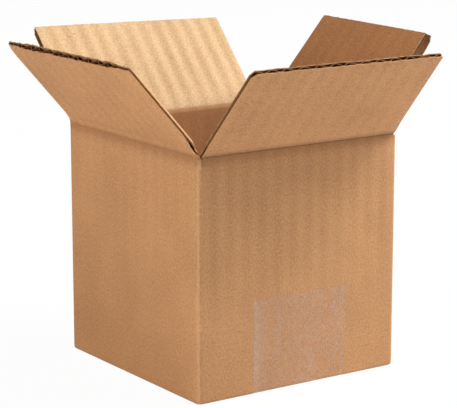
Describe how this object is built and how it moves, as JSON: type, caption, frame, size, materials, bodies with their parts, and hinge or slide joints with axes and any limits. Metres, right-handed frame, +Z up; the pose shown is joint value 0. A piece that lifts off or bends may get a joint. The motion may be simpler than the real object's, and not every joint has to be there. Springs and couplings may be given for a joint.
{
  "type": "open cardboard box",
  "caption": "Cube-shaped corrugated shipping box standing open, its top flaps hinged on the wall creases and its bottom flaps shut and taped.",
  "frame": {"origin": "middle of the box's underside, on the surface that it stands on", "axes": "+Z up, +X to the right along the taped front wall, +Y from the front wall to the back wall"},
  "size_m": [0.1748, 0.1787, 0.1529],
  "materials": {
    "kraft_board": "matte kraft paper over corrugated board",
    "tape_film": "thin clear packing tape, slightly frosted"
  },
  "bodies": {
    "box": {"box_body": "kraft_board", "bottom_tape": "tape_film"},
    "front_flap": {"front_flap": "kraft_board"},
    "back_flap": {"back_flap": "kraft_board"},
    "left_flap": {"left_flap": "kraft_board"},
    "right_flap": {"right_flap": "kraft_board"}
  },
  "joints": [
    {"name": "front_crease", "type": "hinge", "parent": "box", "child": "front_flap", "pos_m": [0, -0.0548, 0.1098], "axis": [1, 0, 0], "range_deg": [-131, 124]},
    {"name": "back_crease", "type": "hinge", "parent": "box", "child": "back_flap", "pos_m": [0, 0.0548, 0.1098], "axis": [-1, 0, 0], "range_deg": [-132, 123]},
    {"name": "left_crease", "type": "hinge", "parent": "box", "child": "left_flap", "pos_m": [-0.0528, 0, 0.1121], "axis": [0, -1, 0], "range_deg": [-130, 68]},
    {"name": "right_crease", "type": "hinge", "parent": "box", "child": "right_flap", "pos_m": [0.0528, 0, 0.1121], "axis": [0, 1, 0], "range_deg": [-130, 68]}
  ]
}
